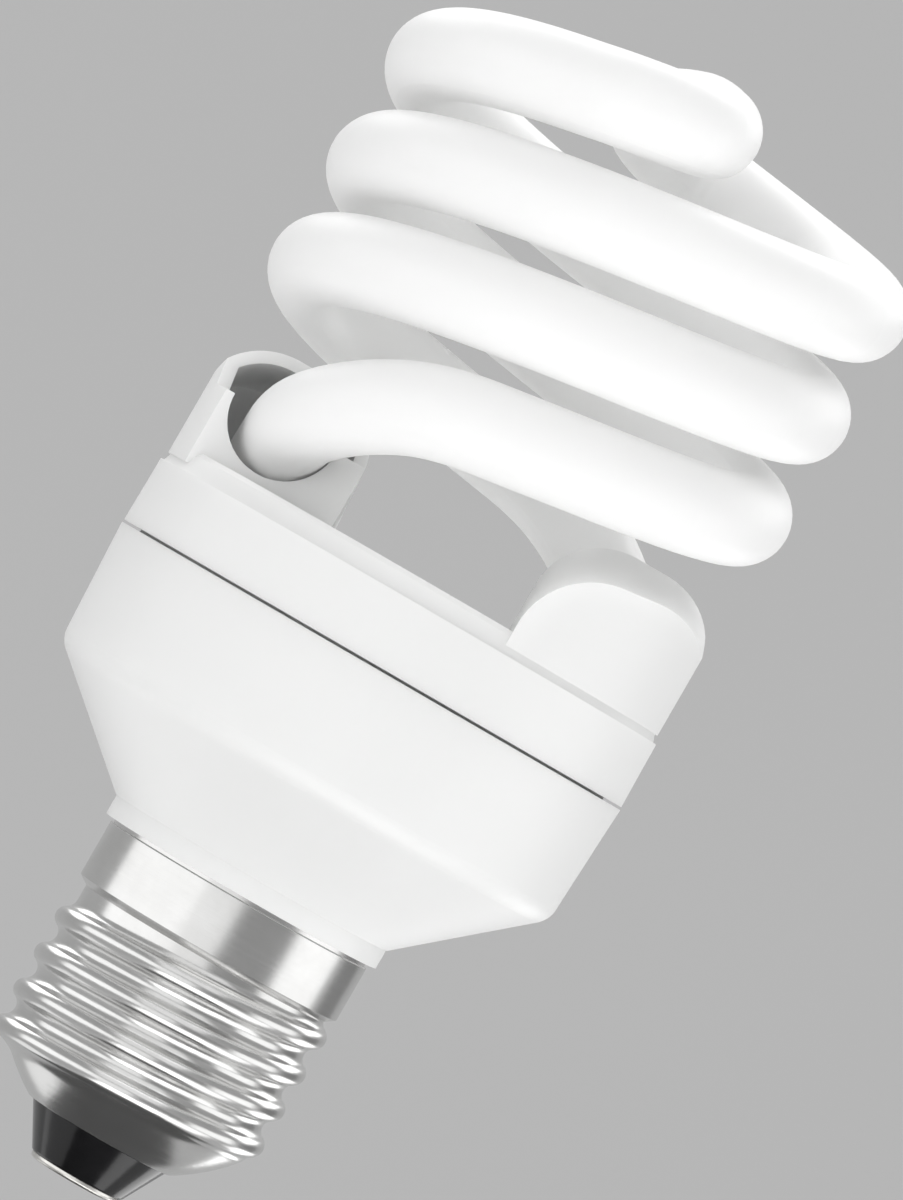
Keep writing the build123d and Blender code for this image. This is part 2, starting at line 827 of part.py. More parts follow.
# Drive transformer: ring core with three windings
toroid_top = z_board - toroid_stand
with BuildPart() as transformer_ring:
    with BuildSketch(Plane.XY.offset(toroid_top - toroid_h)):
        with Locations((toroid_x, toroid_y)):
            Circle(toroid_od / 2)
            Circle(toroid_id / 2, mode=Mode.SUBTRACT)
    extrude(amount=toroid_h)
transformer_ring.part.label = "transformer_ring"
export_step(transformer_ring.part, "parts/transformer_ring.step")

wrap_gap = 0.04
with BuildPart() as ring_wrap:
    with BuildSketch(Plane.XZ):
        with Locations(((toroid_od + toroid_id) / 4, toroid_top - toroid_h / 2)):
            Rectangle((toroid_od - toroid_id) / 2 + 2 * toroid_wrap, toroid_h + 2 * toroid_wrap)
            Rectangle(
                (toroid_od - toroid_id) / 2 + 2 * wrap_gap,
                toroid_h + 2 * wrap_gap,
                mode=Mode.SUBTRACT,
            )
    revolve(axis=Axis.Z, revolution_arc=60)

with BuildPart() as transformer_windings:
    for start in (20, 140, 260):
        add(ring_wrap.part.rotate(Axis.Z, start).moved(Location((toroid_x, toroid_y, 0))))
    toroid_pins = []
    for start in (50, 170, 290):
        px = toroid_x + (toroid_od / 2 + toroid_wrap / 2) * math.cos(math.radians(start))
        py = toroid_y + (toroid_od / 2 + toroid_wrap / 2) * math.sin(math.radians(start))
        toroid_pins.append((px, py))
    with Locations(*[(x, y, toroid_top - 0.3) for x, y in toroid_pins]):
        Cylinder(toroid_wrap / 2 - 0.02, lead_top - toroid_top + 0.3, align=(Align.CENTER, Align.CENTER, Align.MIN))
transformer_windings.part.label = "transformer_windings"
export_step(transformer_windings.part, "parts/transformer_windings.step")
lead_holes += toroid_pins

# Filter inductor: drum core with its winding
drum_stand = 0.4
drum_low = z_board - drum_stand - drum_h
with BuildPart() as filter_inductor_core:
    with BuildSketch(Plane.XZ.offset(-drum_y)):
        with BuildLine():
            Polyline(
                (drum_x, drum_low),
                (drum_x + drum_d / 2, drum_low),
                (drum_x + drum_d / 2, drum_low + drum_flange),
                (drum_x + drum_neck_d / 2, drum_low + drum_flange),
                (drum_x + drum_neck_d / 2, drum_low + drum_h - drum_flange),
                (drum_x + drum_d / 2, drum_low + drum_h - drum_flange),
                (drum_x + drum_d / 2, drum_low + drum_h),
                (drum_x, drum_low + drum_h),
                close=True,
            )
        make_face()
    revolve(axis=Axis((drum_x, drum_y, 0), (0, 0, 1)))
    drum_pins = [(drum_x, drum_y - drum_d / 2 + 0.7), (drum_x, drum_y + drum_d / 2 - 0.7)]
    with Locations(*[(x, y, drum_low + drum_h - 0.3) for x, y in drum_pins]):
        Cylinder(lead_d / 2, lead_top - drum_low - drum_h + 0.3, align=(Align.CENTER, Align.CENTER, Align.MIN))
filter_inductor_core.part.label = "filter_inductor_core"
export_step(filter_inductor_core.part, "parts/filter_inductor_core.step")
lead_holes += drum_pins

with BuildPart() as filter_inductor_winding:
    with BuildSketch(Plane.XY.offset(drum_low + drum_flange + 0.05)):
        with Locations((drum_x, drum_y)):
            Circle(drum_d / 2 - 0.3)
            Circle(drum_neck_d / 2 + 0.04, mode=Mode.SUBTRACT)
    extrude(amount=drum_h - 2 * drum_flange - 0.1)
filter_inductor_winding.part.label = "filter_inductor_winding"
export_step(filter_inductor_winding.part, "parts/filter_inductor_winding.step")

# Two switching transistors: round back, flat front, three legs
for number, (tx, ty, facing) in enumerate(transistor_places, 1):
    spot = Plane(origin=(tx, ty, 0), x_dir=(*at(1, facing), 0), z_dir=(0, 0, 1))
    legs = [spot.from_local_coords((k * transistor_pitch, 0, 0)) for k in (-1, 0, 1)]
    with BuildPart() as transistor:
        with BuildSketch(spot.offset(z_board - transistor_stand - transistor_h)):
            Circle(transistor_d / 2)
            with Locations((0, -transistor_d)):
                Rectangle(2 * transistor_d, transistor_d + 2.4, mode=Mode.SUBTRACT)
        extrude(amount=transistor_h)
        with Locations(*[(v.X, v.Y, z_board - transistor_stand - 0.4) for v in legs]):
            Box(0.5, 0.5, lead_top - z_board + transistor_stand + 0.4, align=(Align.CENTER, Align.CENTER, Align.MIN))
    transistor.part.label = f"switching_transistor_{number}"
    export_step(transistor.part, f"parts/switching_transistor_{number}.step")
    lead_holes += [(v.X, v.Y) for v in legs]

# Two film capacitors with two leads each
for number, (fx, fy) in enumerate(film_places, 1):
    film_leads = [(fx - film_pitch / 2, fy), (fx + film_pitch / 2, fy)]
    with BuildPart() as film:
        with Locations((fx, fy, z_board)):
            Box(film_w, film_t, film_h, align=(Align.CENTER, Align.CENTER, Align.MAX))
        fillet(film.edges().filter_by(Axis.Z), 1.0)
        fillet(film.faces().sort_by(Axis.Z)[0].edges(), 0.8)
        with Locations(*[(x, y, z_board - 0.5) for x, y in film_leads]):
            Cylinder(lead_d / 2, lead_top - z_board + 0.5, align=(Align.CENTER, Align.CENTER, Align.MIN))
    film.part.label = f"film_capacitor_{number}"
    export_step(film.part, f"parts/film_capacitor_{number}.step")
    lead_holes += film_leads

# Start thermistor: a disc on two leads
therm_z = z_board - thermistor_stand - thermistor_d / 2
therm_leads = [(therm_x - thermistor_pitch / 2, therm_y), (therm_x + thermistor_pitch / 2, therm_y)]
with BuildPart() as start_thermistor:
    with BuildSketch(Plane.XZ.offset(-therm_y - thermistor_t / 2)):
        with Locations((therm_x, therm_z)):
            Circle(thermistor_d / 2)
    extrude(amount=thermistor_t)
    fillet(start_thermistor.edges().filter_by(GeomType.CIRCLE), 0.7)
    with Locations(*[(x, y, therm_z) for x, y in therm_leads]):
        Cylinder(lead_d / 2, lead_top - therm_z, align=(Align.CENTER, Align.CENTER, Align.MIN))
start_thermistor.part.label = "start_thermistor"
export_step(start_thermistor.part, "parts/start_thermistor.step")
lead_holes += therm_leads


# Axial pieces: a body on one bent lead, laid under the board along a circle
def axial(body_d, body_l, span, radius, angle):
    drop = body_d / 2 + axial_stand
    points = [
        (-span / 2, 0, lead_top - z_board),
        (-span / 2, 0, -drop),
        (span / 2, 0, -drop),
        (span / 2, 0, lead_top - z_board),
    ]
    with BuildPart() as piece:
        with BuildLine() as path:
            FilletPolyline(*points, radius=lead_d)
        with BuildSketch(Plane(origin=points[0], z_dir=(0, 0, -1))):
            Circle(lead_d / 2)
        sweep(path=path.wires()[0])
        with BuildSketch(Plane.YZ.offset(-body_l / 2)):
            with Locations((0, -drop)):
                Circle(body_d / 2)
        extrude(amount=body_l)
    x, y = at(radius, angle)
    spot = Plane(origin=(x, y, z_board), x_dir=(*at(1, angle + 90), 0), z_dir=(0, 0, 1))
    ends = [spot.from_local_coords((side * span / 2, 0, 0)) for side in (-1, 1)]
    return piece.part.moved(spot.location), [(v.X, v.Y) for v in ends]


diode_angles = [-43, -15, 15, 43]
for number, angle in enumerate(diode_angles, 1):
    shape, ends = axial(diode_d, diode_l, diode_span, ring_r, angle)
    with BuildPart() as diode:
        add(shape)
    diode.part.label = f"rectifier_diode_{number}"
    export_step(diode.part, f"parts/rectifier_diode_{number}.step")
    lead_holes += ends

resistor_angles = [78, 150, 210, 238, 266]
for number, angle in enumerate(resistor_angles, 1):
    shape, ends = axial(resistor_d, resistor_l, resistor_span, ring_r, angle)
    with BuildPart() as resistor:
        add(shape)
    resistor.part.label = f"resistor_{number}"
    export_step(resistor.part, f"parts/resistor_{number}.step")
    lead_holes += ends

shape, ends = axial(trigger_d, trigger_l, trigger_span, trigger_r, 214)
with BuildPart() as trigger_diode:
    add(shape)
trigger_diode.part.label = "trigger_diode"
export_step(trigger_diode.part, "parts/trigger_diode.step")
lead_holes += ends

# Wrap pins at the board's edge, two for each tube end
wrap_angles = [180, 226, 0, 46]
wrap_places = [at(wrap_pin_r, angle) for angle in wrap_angles]
for number, (px, py) in enumerate(wrap_places, 1):
    with BuildPart() as wrap_pin:
        with Locations((px, py, z_board - wrap_pin_down)):
            Box(
                wrap_pin_w,
                wrap_pin_w,
                wrap_pin_down + board_t + wrap_pin_up,
                align=(Align.CENTER, Align.CENTER, Align.MIN),
            )
    wrap_pin.part.label = f"wrap_pin_{number}"
    export_step(wrap_pin.part, f"parts/wrap_pin_{number}.step")

# Filament wires from the tube ends to the wrap pins
wire_gap = 0.05
seal_depth = 1.5
end_down = unit(tuple(leg_lower[-1][i] - leg_lower[-2][i] for i in range(3)))
end_across = unit((0, -end_down[2], end_down[1]))
for number, (px, py) in enumerate(wrap_places, 1):
    turn = 1 if number < 3 else -1
    side = 1 if number in (1, 3) else -1
    foot = (
        turn * leg_end[0],
        turn * (leg_end[1] + side * filament_wire_apart / 2 * end_across[1]),
        leg_end[2] + side * filament_wire_apart / 2 * end_across[2],
    )
    down = (turn * end_down[0], turn * end_down[1], end_down[2])
    hang = tuple(foot[i] + down[i] * wire_gap for i in range(3))
    first = tuple(foot[i] + down[i] * 1.6 for i in range(3))
    reach = math.hypot(px, py) - wrap_pin_w / 2 - filament_wire_d / 2 - wire_gap
    bearing = math.atan2(py, px)
    last = (reach * math.cos(bearing), reach * math.sin(bearing), z_board_top + 1.0)
    over = (
        (reach - 1.2) * math.cos(bearing),
        (reach - 1.2) * math.sin(bearing),
        z_board_top + 2.9,
    )
    points = [hang, first, over, last]
    with BuildPart() as filament_wire:
        add(round_tube(points, filament_wire_d, 0.4))
    filament_wire.part.label = f"filament_wire_{number}"
    export_step(filament_wire.part, f"parts/filament_wire_{number}.step")

# Fusible resistor in the middle of the neck, its lower lead down to the contact
with BuildPart() as fusible_resistor:
    with Locations((0, 0, fuse_z)):
        Cylinder(fuse_d / 2, fuse_l, align=(Align.CENTER, Align.CENTER, Align.MIN))
    fillet(fusible_resistor.edges().filter_by(GeomType.CIRCLE), 0.5)
    with Locations((0, 0, contact_t)):
        Cylinder(lead_d / 2, fuse_z + fuse_l + 1.2 - contact_t, align=(Align.CENTER, Align.CENTER, Align.MIN))
fusible_resistor.part.label = "fusible_resistor"
export_step(fusible_resistor.part, "parts/fusible_resistor.step")

# Wire from the board past the capacitor to the fusible resistor
wire_side = capacitor_d / 2 + cap_wire_d / 2 + 0.5
contact_wire_hole = (0, -wire_side)
contact_points = [
    (0, -wire_side, z_board_top + 0.2),
    (0.05, -wire_side, z_board - 6.5),
    (-0.05, -wire_side, z_board - 13.0),
    (0, -wire_side + 0.2, z_board - capacitor_h - 0.2),
    (0, -2.6, z_board - capacitor_h - 2.4),
    (0, -cap_wire_d / 2 - lead_d / 2 - wire_gap, fuse_z + fuse_l + 0.1),
]
with BuildPart() as contact_wire:
    add(round_tube(contact_points, cap_wire_d, 0.4))
contact_wire.part.label = "contact_wire"
export_step(contact_wire.part, "parts/contact_wire.step")

# Wire from the board to the screw shell, folded up outside the spigot
spigot_foot = z_shell_top - spigot_len
slot_r = spigot_r - shell_wire_d / 2 - 0.02
shell_wire_hole = (0, shell_wire_y)
shell_points = [
    (0, shell_wire_y, z_board_top + 0.2),
    (0.05, shell_wire_y, z_board - 7.0),
    (-0.05, shell_wire_y + 0.2, z_board - 14.0),
    (0, shell_wire_y + 0.5, spigot_foot + 1.5),
    (0.05, spigot_in - shell_wire_d - 0.4, spigot_foot - 1.2),
    (0, slot_r - 0.05, spigot_foot - 1.2),
    (0, slot_r, spigot_foot + 1.4),
    (0.02, slot_r, spigot_foot + 3.6),
]
with BuildPart() as shell_wire:
    add(round_tube(shell_points, shell_wire_d, 0.4))
shell_wire.part.label = "shell_wire"
export_step(shell_wire.part, "parts/shell_wire.step")

# Circuit board, with a hole for each lead, pin and wire
with BuildPart() as circuit_board:
    with BuildSketch(Plane.XY.offset(z_board)):
        Circle(board_r)
        with Locations(*lead_holes):
            Circle(lead_d / 2 + lead_hole_fit, mode=Mode.SUBTRACT)
        with Locations(*wrap_places):
            Circle(wrap_pin_w * 0.75, mode=Mode.SUBTRACT)
        with Locations(contact_wire_hole):
            Circle(cap_wire_d / 2 + lead_hole_fit, mode=Mode.SUBTRACT)
        with Locations(shell_wire_hole):
            Circle(shell_wire_d / 2 + lead_hole_fit, mode=Mode.SUBTRACT)
    extrude(amount=board_t)
circuit_board.part.label = "circuit_board"
export_step(circuit_board.part, "parts/circuit_board.step")
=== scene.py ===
# Looks of the compact spiral lamp, in metres, in the frame of the CAD model.
import json
import math

import bpy
from mathutils import Matrix, Vector


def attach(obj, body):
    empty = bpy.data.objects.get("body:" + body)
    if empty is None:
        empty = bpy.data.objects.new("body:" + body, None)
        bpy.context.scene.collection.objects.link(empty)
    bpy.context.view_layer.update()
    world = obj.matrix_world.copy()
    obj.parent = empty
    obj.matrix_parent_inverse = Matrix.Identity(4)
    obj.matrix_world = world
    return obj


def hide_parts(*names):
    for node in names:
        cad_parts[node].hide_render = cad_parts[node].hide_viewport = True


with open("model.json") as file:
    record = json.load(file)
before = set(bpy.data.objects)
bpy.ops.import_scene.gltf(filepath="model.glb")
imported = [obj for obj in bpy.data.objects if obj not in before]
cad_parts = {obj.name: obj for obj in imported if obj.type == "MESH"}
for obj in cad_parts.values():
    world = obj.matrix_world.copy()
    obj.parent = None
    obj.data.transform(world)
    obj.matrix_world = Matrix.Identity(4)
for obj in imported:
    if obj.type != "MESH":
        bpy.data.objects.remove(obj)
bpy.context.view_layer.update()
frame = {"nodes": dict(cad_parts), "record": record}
nodes = frame["nodes"]

# Materials


def new_material(name):
    mat = bpy.data.materials.new(name)
    mat.use_nodes = True
    tree = mat.node_tree
    shader = next(n for n in tree.nodes if n.type == "BSDF_PRINCIPLED")
    return mat, tree, shader


def link(tree, out_node, out_name, in_node, in_name):
    tree.links.new(out_node.outputs[out_name], in_node.inputs[in_name])


def coords(tree, scale=(1, 1, 1)):
    where = tree.nodes.new("ShaderNodeTexCoord")
    mapping = tree.nodes.new("ShaderNodeMapping")
    mapping.inputs["Scale"].default_value = scale
    link(tree, where, "Object", mapping, "Vector")
    return mapping


def noise(tree, size, detail=3.0, rough=0.5, scale=(1, 1, 1)):
    tex = tree.nodes.new("ShaderNodeTexNoise")
    tex.inputs["Scale"].default_value = 1.0 / size
    tex.inputs["Detail"].default_value = detail
    tex.inputs["Roughness"].default_value = rough
    link(tree, coords(tree, scale), "Vector", tex, "Vector")
    return tex


def ramp(tree, source, out_name, stops):
    node = tree.nodes.new("ShaderNodeValToRGB")
    elements = node.color_ramp.elements
    while len(elements) < len(stops):
        elements.new(0.5)
    for element, (place, colour) in zip(elements, stops):
        element.position = place
        element.color = (*colour, 1.0)
    link(tree, source, out_name, node, "Fac")
    return node


def spread(tree, source, out_name, low, high):
    node = tree.nodes.new("ShaderNodeMapRange")
    node.inputs["To Min"].default_value = low
    node.inputs["To Max"].default_value = high
    link(tree, source, out_name, node, "Value")
    return node


def bump(tree, shader, source, out_name, height, strength=0.3):
    node = tree.nodes.new("ShaderNodeBump")
    node.inputs["Strength"].default_value = strength
    node.inputs["Distance"].default_value = height
    link(tree, source, out_name, node, "Height")
    link(tree, node, "Normal", shader, "Normal")


def plain(name, colour, rough, grain=0.0004, shade=0.06, metal=0.0, height=0.00002):
    # A base colour that varies a little with a fine grain, roughness and bump from the same grain
    mat, tree, shader = new_material(name)
    tex = noise(tree, grain, 4.0, 0.6)
    low = tuple(c * (1 - shade) for c in colour)
    high = tuple(min(1.0, c * (1 + shade * 0.5)) for c in colour)
    colours = ramp(tree, tex, "Fac", [(0.3, low), (0.7, high)])
    link(tree, colours, "Color", shader, "Base Color")
    shine = spread(tree, tex, "Fac", max(0.02, rough * 0.85), min(1.0, rough * 1.15))
    link(tree, shine, "Result", shader, "Roughness")
    shader.inputs["Metallic"].default_value = metal
    bump(tree, shader, tex, "Fac", height)
    return mat


def let_light_in(shader, weight, depth):
    # Light enters and leaves again within this depth, as in milky plastic or powder-coated glass
    shader.inputs["Subsurface Weight"].default_value = weight
    shader.inputs["Subsurface Radius"].default_value = (1.0, 1.0, 1.0)
    shader.inputs["Subsurface Scale"].default_value = depth


def white_moulding(name):
    mat, tree, shader = new_material(name)
    wide = noise(tree, 0.030, 2.0, 0.5)
    dull, clear = (0.875, 0.878, 0.872), (0.900, 0.902, 0.896)
    colours = ramp(tree, wide, "Fac", [(0.3, dull), (0.7, clear)])
    link(tree, colours, "Color", shader, "Base Color")
    fine = noise(tree, 0.00045, 3.0, 0.55)
    shine = spread(tree, fine, "Fac", 0.33, 0.43)
    link(tree, shine, "Result", shader, "Roughness")
    shader.inputs["IOR"].default_value = 1.49
    let_light_in(shader, 0.60, 0.0018)
    bump(tree, shader, fine, "Fac", 0.00001, 0.25)
    return mat


def milky_glass(name):
    mat, tree, shader = new_material(name)
    wide = noise(tree, 0.014, 3.0, 0.55)
    thin, thick = (0.935, 0.935, 0.930), (0.960, 0.960, 0.955)
    colours = ramp(tree, wide, "Fac", [(0.3, thin), (0.7, thick)])
    link(tree, colours, "Color", shader, "Base Color")
    powder = noise(tree, 0.0006, 4.0, 0.6)
    shine = spread(tree, powder, "Fac", 0.50, 0.62)
    link(tree, shine, "Result", shader, "Roughness")
    shader.inputs["IOR"].default_value = 1.45
    let_light_in(shader, 0.55, 0.0035)
    shader.inputs["Coat Weight"].default_value = 0.30
    shader.inputs["Coat Roughness"].default_value = 0.30
    shader.inputs["Coat IOR"].default_value = 1.5
    bump(tree, shader, wide, "Fac", 0.00006, 0.25)
    return mat


def rolled_metal(name):
    # Nickel-plated sheet, with fine marks that run round the cap from the rolling of its thread
    mat, tree, shader = new_material(name)
    lines = noise(tree, 0.0009, 5.0, 0.65, (0.12, 0.12, 3.5))
    stains = noise(tree, 0.006, 4.0, 0.6)
    dull, bright = (0.62, 0.618, 0.61), (0.70, 0.70, 0.695)
    colours = ramp(tree, stains, "Fac", [(0.3, dull), (0.72, bright)])
    link(tree, colours, "Color", shader, "Base Color")
    shader.inputs["Metallic"].default_value = 1.0
    shine = spread(tree, lines, "Fac", 0.14, 0.27)
    link(tree, shine, "Result", shader, "Roughness")
    bump(tree, shader, lines, "Fac", 0.00003, 0.35)
    return mat


def black_glass(name):
    mat, tree, shader = new_material(name)
    wide = noise(tree, 0.004, 3.0, 0.5)
    deep, pale = (0.003, 0.003, 0.0035), (0.008, 0.008, 0.009)
    colours = ramp(tree, wide, "Fac", [(0.3, deep), (0.7, pale)])
    link(tree, colours, "Color", shader, "Base Color")
    shine = spread(tree, wide, "Fac", 0.10, 0.20)
    link(tree, shine, "Result", shader, "Roughness")
    shader.inputs["IOR"].default_value = 1.55
    bump(tree, shader, wide, "Fac", 0.00008, 0.3)
    return mat


def winding_wire(name, colour, pitch):
    # Turns of wire that lie side by side round an upright axis, with painted shade between the turns
    mat, tree, shader = new_material(name)
    wave = tree.nodes.new("ShaderNodeTexWave")
    wave.wave_type = "BANDS"
    wave.bands_direction = "Z"
    wave.inputs["Scale"].default_value = math.pi / (10.0 * pitch)
    wave.inputs["Distortion"].default_value = 0.4
    link(tree, coords(tree), "Vector", wave, "Vector")
    # Painted shade: the colour darkens to this in a thin line where each turn meets the next
    dark = tuple(c * 0.35 for c in colour)
    colours = ramp(tree, wave, "Fac", [(0.05, dark), (0.6, colour)])
    link(tree, colours, "Color", shader, "Base Color")
    shader.inputs["Metallic"].default_value = 0.6
    shader.inputs["Roughness"].default_value = 0.3
    bump(tree, shader, wave, "Fac", 0.0001, 0.6)
    return mat


looks = {
    "cap_contact": plain(
        "tinned_contact", (0.72, 0.71, 0.68), 0.30, grain=0.0008, shade=0.12, metal=1.0, height=0.00004
    ),
    "cap_insulator": black_glass("black_glass"),
    "cap_shell": rolled_metal("nickel_sheet"),
    "white_plastic": white_moulding("white_moulding"),
    "tube_glass": milky_glass("milky_glass"),
    "cement": plain("set_cement", (0.74, 0.74, 0.72), 0.85, grain=0.0005, shade=0.15, height=0.00012),
    "board": plain("board_laminate", (0.55, 0.42, 0.22), 0.5, grain=0.0012, shade=0.10),
    "ferrite": plain("ferrite", (0.045, 0.045, 0.048), 0.55, grain=0.0005, shade=0.25),
    "winding": winding_wire("enamelled_copper", (0.60, 0.24, 0.09), pitch=0.00028),
    "bobbin": plain("bobbin_moulding", (0.02, 0.02, 0.02), 0.45),
    "sleeve": plain("shrunk_sleeve", (0.015, 0.02, 0.06), 0.30, grain=0.002, shade=0.2),
    "film_body": plain("dipped_film", (0.30, 0.05, 0.03), 0.28, grain=0.003, shade=0.15, height=0.00006),
    "black_body": plain("moulding_compound", (0.02, 0.02, 0.021), 0.40),
    "diode_glass": plain("coated_glass", (0.12, 0.25, 0.48), 0.18),
    "resistor_body": plain("beige_lacquer", (0.55, 0.43, 0.26), 0.4),
    "fuse_body": plain("grey_lacquer", (0.18, 0.26, 0.30), 0.4),
    "thermistor_body": plain("green_lacquer", (0.05, 0.10, 0.045), 0.4),
    "tinned_wire": plain("tinned_wire", (0.70, 0.69, 0.67), 0.28, grain=0.0005, shade=0.1, metal=1.0),
    "nickel_wire": plain("nickel_wire", (0.52, 0.52, 0.51), 0.32, grain=0.0005, shade=0.1, metal=1.0),
    "insulated_wire": plain("white_sleeving", (0.72, 0.72, 0.70), 0.5, grain=0.0008, shade=0.06),
}
for row in frame["record"]["subparts"]:
    obj = nodes[row["node"]]
    obj.data.materials.clear()
    obj.data.materials.append(looks[row["material_slot"]])

# Rolled shell of the cap, in mm: its thread fades in behind the lamp and out under the skirt

mm = 0.001
thread_pitch = 3.629
thread_crest_r = 13.1
thread_valley_r = 12.0
thread_arc_r = 1.0234
thread_height = 9.6
thread_angle = 269.2
fade_in_low, fade_in_high = 7.1, 8.3
fade_out_low, fade_out_high = 21.7, 22.9
skirt_r = 12.94
skirt_low, skirt_high = 23.6, 29.3
skirt_blend = 0.66
sheet = 0.35
rim_r, rim_z, rim_flat = 6.9, 4.6, 0.3
dome_mid, dome_top = (10.062, 6.742), 8.8
inner_dome_up = 0.14
rim_roll = 0.24
shell_around = 288
dome_rows, wall_rows, step_rows = 48, 180, 6
sharp_angle = math.radians(38)


def smooth_step(low, high, value):
    x = min(1.0, max(0.0, (value - low) / (high - low)))
    return x * x * (3 - 2 * x)


def thread_share(angle, z):
    # 1 on the crest and 0 in the valley: two arcs of one radius that meet half-way up the flank
    turns = (angle - thread_angle) / 360.0
    turns += round((z - thread_height) / thread_pitch - turns)
    crest_z = thread_height + thread_pitch * turns
    off = abs(z - crest_z)
    depth = thread_crest_r - thread_valley_r
    if off < thread_pitch / 4:
        rise = depth - thread_arc_r + math.sqrt(thread_arc_r ** 2 - off ** 2)
    else:
        rise = thread_arc_r - math.sqrt(thread_arc_r ** 2 - (thread_pitch / 2 - off) ** 2)
    fade_in = smooth_step(fade_in_low, fade_in_high, crest_z)
    fade_out = 1 - smooth_step(fade_out_low, fade_out_high, crest_z)
    return fade_in * fade_out * max(0.0, min(1.0, rise / depth))


def arc_points(a, m, b, count):
    # Points on the circle through a, m and b, from a to b
    (ax, ay), (mx, my), (bx, by) = a, m, b
    d = 2 * (ax * (my - by) + mx * (by - ay) + bx * (ay - my))
    sa, sm, sb = ax * ax + ay * ay, mx * mx + my * my, bx * bx + by * by
    cx = (sa * (my - by) + sm * (by - ay) + sb * (ay - my)) / d
    cy = (sa * (bx - mx) + sm * (ax - bx) + sb * (mx - ax)) / d
    radius = math.hypot(ax - cx, ay - cy)
    first, last = math.atan2(ay - cy, ax - cx), math.atan2(by - cy, bx - cx)
    step = ((last - first + math.pi) % (2 * math.pi) - math.pi) / count
    angles = [first + step * k for k in range(count + 1)]
    return [(cx + radius * math.cos(t), cy + radius * math.sin(t)) for t in angles]


def line_points(a, b, count):
    # Points on the straight line from a to b, without a itself
    return [(a[0] + (b[0] - a[0]) * k / count, a[1] + (b[1] - a[1]) * k / count) for k in range(1, count + 1)]


def swept_mesh(name, rings, around, closed):
    # Rings of points, each with as many points, joined one to the next by four-sided faces
    verts = [point for ring in rings for point in ring]
    faces = []
    for i in range(len(rings) if closed else len(rings) - 1):
        j = (i + 1) % len(rings)
        for k in range(around):
            n = (k + 1) % around
            faces.append((i * around + k, i * around + n, j * around + n, j * around + k))
    mesh = bpy.data.meshes.new(name)
    mesh.from_pydata(verts, [], faces)
    mesh.validate()
    mesh.polygons.foreach_set("use_smooth", [True] * len(mesh.polygons))
    return mesh


def shell_ring(r, z, threaded):
    ring = []
    for k in range(shell_around):
        angle = 360.0 * k / shell_around
        far = r
        if threaded:
            far += max(0.0, thread_crest_r - r) * thread_share(angle, z)
        turn = math.radians(angle)
        ring.append((far * mm * math.cos(turn), far * mm * math.sin(turn), z * mm))
    return ring


def rolled_shell_mesh():
    wall_top = skirt_low - skirt_blend
    wall_foot, wall_head = (thread_valley_r, dome_top), (thread_valley_r, wall_top)
    outside = [(rim_r, rim_z)]
    outside += arc_points((rim_r + rim_flat, rim_z), dome_mid, wall_foot, dome_rows)
    outside += line_points(wall_foot, wall_head, wall_rows)
    outside += line_points(wall_head, (skirt_r, skirt_low), step_rows)
    outside += [
        (skirt_r, skirt_high - 2.0 * rim_roll),
        (skirt_r - 0.3 * rim_roll, skirt_high - 1.7 * rim_roll),
        (skirt_r - rim_roll, skirt_high - 1.5 * rim_roll),
        (skirt_r - rim_roll, skirt_high),
    ]
    inside = [
        (skirt_r - sheet, skirt_high),
        (skirt_r - sheet, skirt_low),
        (thread_valley_r - sheet, wall_top),
        (thread_valley_r - sheet, dome_top + inner_dome_up),
        (dome_mid[0] - 0.6 * sheet, dome_mid[1] + 0.8 * sheet),
        (rim_r, rim_z + 1.3 * sheet),
    ]
    rings = [shell_ring(r, z, r > rim_r + rim_flat and z < skirt_low) for r, z in outside]
    rings += [shell_ring(r, z, False) for r, z in inside]
    mesh = swept_mesh("rolled_shell", rings, shell_around, closed=True)
    mesh.set_sharp_from_angle(angle=sharp_angle)
    return mesh


rolled_shell = bpy.data.objects.new("rolled_shell", rolled_shell_mesh())
bpy.context.scene.collection.objects.link(rolled_shell)
rolled_shell.data.materials.append(looks["cap_shell"])
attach(rolled_shell, "root")
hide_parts("screw_shell")

# Studio

z_parting = 0.0522
axis_up = Vector((0, 0, 1))


def studio_mesh():
    # Floor, wall and ceiling in one round sweep, so no edge shows behind the lamp from any side
    floor_z, radius, corner, height = -1.3, 3.2, 1.6, 4.2
    shoulder, shoulder_up, crown_up = 1.2, 0.8, 1.0
    corner_steps, around = 12, 64
    profile = [(0.0, floor_z)]
    for k in range(corner_steps + 1):
        a = math.pi / 2 * k / corner_steps
        in_corner = corner * (1 - math.sin(a))
        profile.append((radius - in_corner, floor_z + corner * (1 - math.cos(a))))
    profile.append((radius, height))
    profile.append((radius - shoulder, height + shoulder_up))
    profile.append((0.0, height + crown_up))
    turns = [2 * math.pi * k / around for k in range(around)]
    rings = [[(r * math.cos(t), r * math.sin(t), z) for t in turns] for r, z in profile]
    return swept_mesh("studio_floor", rings, around, closed=False)


studio = bpy.data.objects.new("studio_floor", studio_mesh())
bpy.context.scene.collection.objects.link(studio)
studio_look, studio_tree, studio_shader = new_material("pale_paper")
paper = noise(studio_tree, 0.8, 2.0, 0.5)
paper_dark, paper_light = (0.34, 0.34, 0.34), (0.36, 0.36, 0.36)
paper_colours = ramp(studio_tree, paper, "Fac", [(0.3, paper_dark), (0.7, paper_light)])
link(studio_tree, paper_colours, "Color", studio_shader, "Base Color")
studio_shader.inputs["Roughness"].default_value = 0.9
studio_shader.inputs["Specular IOR Level"].default_value = 0.1
studio_shader.inputs["Emission Color"].default_value = (1.0, 1.0, 1.0, 1.0)
studio_shader.inputs["Emission Strength"].default_value = 0.26
studio.data.materials.append(studio_look)


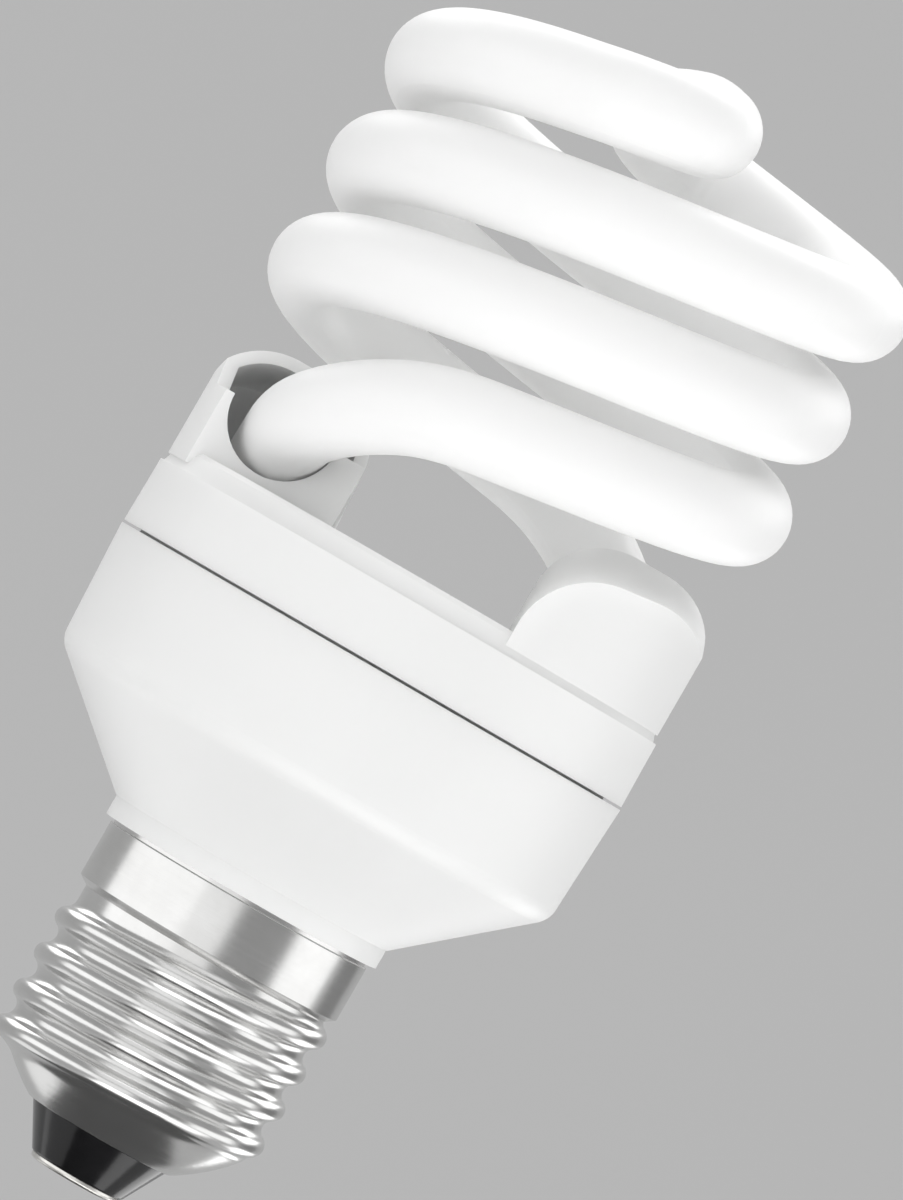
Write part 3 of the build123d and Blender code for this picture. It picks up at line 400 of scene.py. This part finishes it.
# Each light panel: name, azimuth from the camera (right is positive), elevation, distance,
# then half its width and half its height as angles from the lamp, and its power in watts
panels = [
    ("left_band", -64, 0, 1.5, 39, 17, 6.7),
    ("front_band", -9, 0, 1.6, 16, 17, 1.9),
    ("right_band", 82, 0, 1.5, 24, 17, 3.9),
    ("front_low", 8, -40, 1.5, 26, 17, 7.1),
    ("front_high", 0, 46, 1.5, 26, 22, 3.5),
    ("right_low", 62, -42, 1.5, 22, 20, 5.0),
    ("overhead", 0, 84, 1.5, 22, 22, 4.0),
    ("overhead_back", 180, 55, 1.6, 24, 12, 10.5),
    ("back_left", -140, 30, 1.7, 18, 14, 5.0),
    ("back_right", 140, 30, 1.7, 18, 14, 4.5),
    ("back_under_left", -132, -48, 1.5, 18, 12, 1.1),
    ("back_low_right", 136, -24, 1.5, 18, 10, 2.4),
]
middle = Vector((0.0, 0.0, 0.06))


def light_panel(name, azimuth, up, distance, half_wide, half_high, power):
    a, e = math.radians(azimuth), math.radians(up)
    away = Vector((math.sin(a) * math.cos(e), -math.cos(a) * math.cos(e), math.sin(e)))
    data = bpy.data.lights.new(name, "AREA")
    data.shape = "RECTANGLE"
    data.size = 2 * distance * math.tan(math.radians(half_wide))
    data.size_y = 2 * distance * math.tan(math.radians(half_high))
    data.energy = power
    light = bpy.data.objects.new(name, data)
    bpy.context.scene.collection.objects.link(light)
    light.location = middle + away * distance
    light.rotation_mode = "QUATERNION"
    light.rotation_quaternion = (-away).to_track_quat("-Z", "Y")
    light.visible_camera = False


for panel in panels:
    light_panel(*panel)


def dark_card(name, place, facing, half_wide, half_high, grey):
    # A card that only keeps light away: the metal cap mirrors it as a dark band
    card = bpy.data.meshes.new(name)
    corners = [(x * half_wide, y * half_high, 0) for x, y in ((-1, -1), (1, -1), (1, 1), (-1, 1))]
    card.from_pydata(corners, [], [(0, 1, 2, 3)])
    obj = bpy.data.objects.new(name, card)
    bpy.context.scene.collection.objects.link(obj)
    obj.location = place
    obj.rotation_mode = "QUATERNION"
    obj.rotation_quaternion = facing.to_track_quat("Z", "Y")
    obj.visible_camera = False
    obj.data.materials.append(plain(name + "_paper", (grey, grey, grey), 0.9, grain=0.05))


card_distance, card_height, card_half_high = 0.6, 0.02, 0.12
for card_name, card_azimuth, card_half, card_grey in (
    ("dark_card_right", 33, 0.23, 0.36),
    ("dark_card_back", 128, 0.15, 0.26),
):
    card_turn = math.radians(card_azimuth)
    card_away = Vector((math.sin(card_turn), -math.cos(card_turn), 0))
    card_place = card_away * card_distance + axis_up * card_height
    dark_card(card_name, card_place, -card_away, card_half, card_half_high, card_grey)
below_place = Vector((0.004, 0.012, -0.06))
dark_card("dark_card_below", below_place, axis_up, half_wide=0.038, half_high=0.066, grey=0.07)

# A faint sky, which only shows where the sweep is left out
world = bpy.data.worlds.new("studio_air")
bpy.context.scene.world = world
world.use_nodes = True
world.node_tree.nodes["Background"].inputs["Color"].default_value = (0.9, 0.95, 1.0, 1.0)
world.node_tree.nodes["Background"].inputs["Strength"].default_value = 0.3

# Camera

camera_roll = math.radians(30.083)
camera_distance = 0.790
frame_height = 0.1053
frame_right, frame_up = 0.0032, 0.0084
camera_data = bpy.data.cameras.new("camera")
camera_data.sensor_width = 36.0
camera_data.lens = 36.0 * camera_distance / frame_height
camera_data.clip_start, camera_data.clip_end = 0.05, 20.0
camera = bpy.data.objects.new("camera", camera_data)
bpy.context.scene.collection.objects.link(camera)
camera.location = (0.0, -camera_distance, z_parting)
to_centre = Vector((frame_right, camera_distance, frame_up)).normalized()
camera.rotation_mode = "QUATERNION"
level = to_centre.to_track_quat("-Z", "Y")
camera.rotation_quaternion = level @ Matrix.Rotation(camera_roll, 3, "Z").to_quaternion()
bpy.context.scene.camera = camera
bpy.context.scene.view_settings.view_transform = "Standard"
